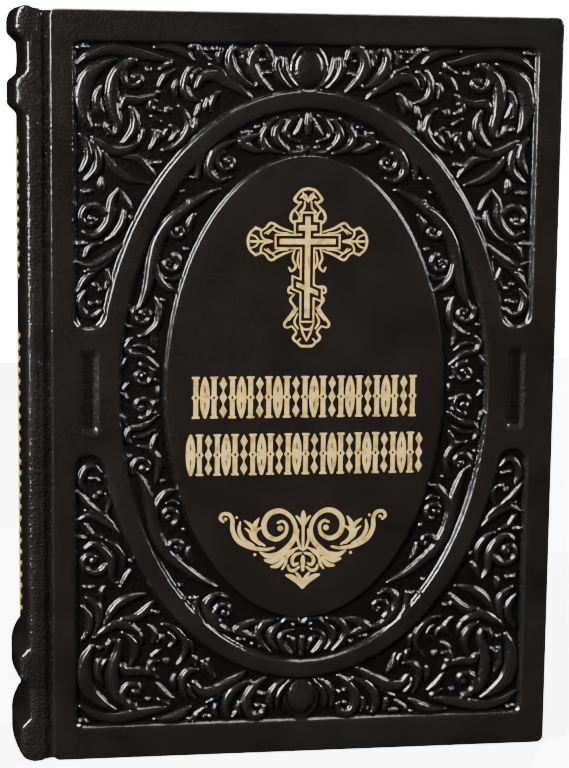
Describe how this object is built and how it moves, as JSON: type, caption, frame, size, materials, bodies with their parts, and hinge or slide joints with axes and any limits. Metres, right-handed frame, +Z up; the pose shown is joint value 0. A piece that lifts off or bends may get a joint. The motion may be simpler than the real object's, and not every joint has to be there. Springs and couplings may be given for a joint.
{
  "type": "prayer book",
  "caption": "Upright case-bound leather prayer book with raised spine bands, an ornamental relief cover with a gilt cross, and covers, leaves and sewn sections that open.",
  "frame": {"origin": "middle of the footprint, at the tail edge the book stands on", "axes": "+Z up the book's height, -Y out of the front cover, +X from the spine to the fore edge"},
  "size_m": [0.1812, 0.0524, 0.246],
  "materials": {
    "black_leather": "satin, fine grain",
    "gold_foil": "stamped gold foil",
    "greyboard": "matte",
    "card": "matte",
    "endpaper": "matte",
    "book_paper": "matte",
    "mull_gauze": "open weave",
    "linen_tape": "plain weave",
    "silk_headband": "sewn silk",
    "linen_thread": "waxed thread"
  },
  "bodies": {
    "spine": {"spine_leather": "black_leather", "spine_inlay_card": "card", "spine_band_head": "card", "spine_band_upper": "card", "spine_band_lower": "card", "spine_band_tail": "card", "spine_gilding_upper": "gold_foil", "spine_gilding_lower": "gold_foil", "front_joint_leather": "black_leather", "back_joint_leather": "black_leather", "spine_lining_paper": "card", "spine_mull": "mull_gauze", "sewing_tape_1": "linen_tape", "sewing_tape_2": "linen_tape", "sewing_tape_3": "linen_tape", "kettle_stitch_head": "linen_thread", "kettle_stitch_tail": "linen_thread", "headband": "silk_headband", "tailband": "silk_headband"},
    "front_cover": {"front_cover_leather": "black_leather", "front_board": "greyboard", "front_frame_card": "card", "front_medallion_card": "card", "front_infill_card": "card", "front_pastedown": "endpaper", "cover_cross_gilding": "gold_foil", "cover_upper_band_gilding": "gold_foil", "cover_lower_band_gilding": "gold_foil", "cover_flourish_gilding": "gold_foil"},
    "back_cover": {"back_cover_leather": "black_leather", "back_board": "greyboard", "back_frame_card": "card", "back_medallion_card": "card", "back_infill_card": "card", "back_pastedown": "endpaper"},
    "front_flyleaf": {"front_flyleaf": "endpaper"},
    "front_leaf_1": {"front_leaf_1": "book_paper"},
    "front_leaf_2": {"front_leaf_2": "book_paper"},
    "front_leaf_3": {"front_leaf_3": "book_paper"},
    "section_01": {"section_01": "book_paper"},
    "section_02": {"section_02": "book_paper"},
    "section_03": {"section_03": "book_paper"},
    "section_04": {"section_04": "book_paper"},
    "section_05": {"section_05": "book_paper"},
    "section_06": {"section_06": "book_paper"},
    "back_flyleaf": {"back_flyleaf": "endpaper"},
    "back_leaf_1": {"back_leaf_1": "book_paper"},
    "back_leaf_2": {"back_leaf_2": "book_paper"},
    "back_leaf_3": {"back_leaf_3": "book_paper"},
    "section_12": {"section_12": "book_paper"},
    "section_11": {"section_11": "book_paper"},
    "section_10": {"section_10": "book_paper"},
    "section_09": {"section_09": "book_paper"},
    "section_08": {"section_08": "book_paper"},
    "section_07": {"section_07": "book_paper"}
  },
  "joints": [
    {"name": "front_cover_hinge", "type": "hinge", "parent": "spine", "child": "front_cover", "pos_m": [-0.0807, -0.0262, 0.123], "axis": [0, 0, -1], "range_deg": [0, 180]},
    {"name": "back_cover_hinge", "type": "hinge", "parent": "spine", "child": "back_cover", "pos_m": [-0.0807, 0.0262, 0.123], "axis": [0, 0, 1], "range_deg": [0, 180]},
    {"name": "front_flyleaf_turn", "type": "hinge", "parent": "spine", "child": "front_flyleaf", "pos_m": [-0.0804, -0.0189, 0.123], "axis": [0, 0, -1], "range_deg": [0, 60]},
    {"name": "front_leaf_1_turn", "type": "hinge", "parent": "spine", "child": "front_leaf_1", "pos_m": [-0.0804, -0.0183, 0.123], "axis": [0, 0, -1], "range_deg": [0, 50]},
    {"name": "front_leaf_2_turn", "type": "hinge", "parent": "spine", "child": "front_leaf_2", "pos_m": [-0.0804, -0.0177, 0.123], "axis": [0, 0, -1], "range_deg": [0, 41]},
    {"name": "front_leaf_3_turn", "type": "hinge", "parent": "spine", "child": "front_leaf_3", "pos_m": [-0.0804, -0.0171, 0.123], "axis": [0, 0, -1], "range_deg": [0, 33]},
    {"name": "section_01_turn", "type": "hinge", "parent": "spine", "child": "section_01", "pos_m": [-0.08118, -0.0154, 0.123], "axis": [0, 0, -1], "range_deg": [0, 25]},
    {"name": "section_02_turn", "type": "hinge", "parent": "spine", "child": "section_02", "pos_m": [-0.08165, -0.0126, 0.123], "axis": [0, 0, -1], "range_deg": [0, 20]},
    {"name": "section_03_turn", "type": "hinge", "parent": "spine", "child": "section_03", "pos_m": [-0.08203, -0.0098, 0.123], "axis": [0, 0, -1], "range_deg": [0, 16]},
    {"name": "section_04_turn", "type": "hinge", "parent": "spine", "child": "section_04", "pos_m": [-0.08231, -0.007, 0.123], "axis": [0, 0, -1], "range_deg": [0, 12]},
    {"name": "section_05_turn", "type": "hinge", "parent": "spine", "child": "section_05", "pos_m": [-0.08249, -0.0042, 0.123], "axis": [0, 0, -1], "range_deg": [0, 8]},
    {"name": "section_06_turn", "type": "hinge", "parent": "spine", "child": "section_06", "pos_m": [-0.08259, -0.0014, 0.123], "axis": [0, 0, -1], "range_deg": [0, 4]},
    {"name": "back_flyleaf_turn", "type": "hinge", "parent": "spine", "child": "back_flyleaf", "pos_m": [-0.0804, 0.0189, 0.123], "axis": [0, 0, 1], "range_deg": [0, 60]},
    {"name": "back_leaf_1_turn", "type": "hinge", "parent": "spine", "child": "back_leaf_1", "pos_m": [-0.0804, 0.0183, 0.123], "axis": [0, 0, 1], "range_deg": [0, 50]},
    {"name": "back_leaf_2_turn", "type": "hinge", "parent": "spine", "child": "back_leaf_2", "pos_m": [-0.0804, 0.0177, 0.123], "axis": [0, 0, 1], "range_deg": [0, 41]},
    {"name": "back_leaf_3_turn", "type": "hinge", "parent": "spine", "child": "back_leaf_3", "pos_m": [-0.0804, 0.0171, 0.123], "axis": [0, 0, 1], "range_deg": [0, 33]},
    {"name": "section_12_turn", "type": "hinge", "parent": "spine", "child": "section_12", "pos_m": [-0.08118, 0.0154, 0.123], "axis": [0, 0, 1], "range_deg": [0, 25]},
    {"name": "section_11_turn", "type": "hinge", "parent": "spine", "child": "section_11", "pos_m": [-0.08165, 0.0126, 0.123], "axis": [0, 0, 1], "range_deg": [0, 20]},
    {"name": "section_10_turn", "type": "hinge", "parent": "spine", "child": "section_10", "pos_m": [-0.08203, 0.0098, 0.123], "axis": [0, 0, 1], "range_deg": [0, 16]},
    {"name": "section_09_turn", "type": "hinge", "parent": "spine", "child": "section_09", "pos_m": [-0.08231, 0.007, 0.123], "axis": [0, 0, 1], "range_deg": [0, 12]},
    {"name": "section_08_turn", "type": "hinge", "parent": "spine", "child": "section_08", "pos_m": [-0.08249, 0.0042, 0.123], "axis": [0, 0, 1], "range_deg": [0, 8]},
    {"name": "section_07_turn", "type": "hinge", "parent": "spine", "child": "section_07", "pos_m": [-0.08259, 0.0014, 0.123], "axis": [0, 0, 1], "range_deg": [0, 4]}
  ],
  "couplings": [
    {"joint": "front_flyleaf_turn", "follows": "front_cover_hinge", "ratio": 0.33333},
    {"joint": "front_leaf_1_turn", "follows": "front_cover_hinge", "ratio": 0.27778},
    {"joint": "front_leaf_2_turn", "follows": "front_cover_hinge", "ratio": 0.22778},
    {"joint": "front_leaf_3_turn", "follows": "front_cover_hinge", "ratio": 0.18333},
    {"joint": "section_01_turn", "follows": "front_cover_hinge", "ratio": 0.13889},
    {"joint": "section_02_turn", "follows": "front_cover_hinge", "ratio": 0.11111},
    {"joint": "section_03_turn", "follows": "front_cover_hinge", "ratio": 0.088888},
    {"joint": "section_04_turn", "follows": "front_cover_hinge", "ratio": 0.066666},
    {"joint": "section_05_turn", "follows": "front_cover_hinge", "ratio": 0.044444},
    {"joint": "section_06_turn", "follows": "front_cover_hinge", "ratio": 0.022222},
    {"joint": "back_flyleaf_turn", "follows": "back_cover_hinge", "ratio": 0.33333},
    {"joint": "back_leaf_1_turn", "follows": "back_cover_hinge", "ratio": 0.27778},
    {"joint": "back_leaf_2_turn", "follows": "back_cover_hinge", "ratio": 0.22778},
    {"joint": "back_leaf_3_turn", "follows": "back_cover_hinge", "ratio": 0.18333},
    {"joint": "section_12_turn", "follows": "back_cover_hinge", "ratio": 0.13889},
    {"joint": "section_11_turn", "follows": "back_cover_hinge", "ratio": 0.11111},
    {"joint": "section_10_turn", "follows": "back_cover_hinge", "ratio": 0.088888},
    {"joint": "section_09_turn", "follows": "back_cover_hinge", "ratio": 0.066666},
    {"joint": "section_08_turn", "follows": "back_cover_hinge", "ratio": 0.044444},
    {"joint": "section_07_turn", "follows": "back_cover_hinge", "ratio": 0.022222}
  ]
}
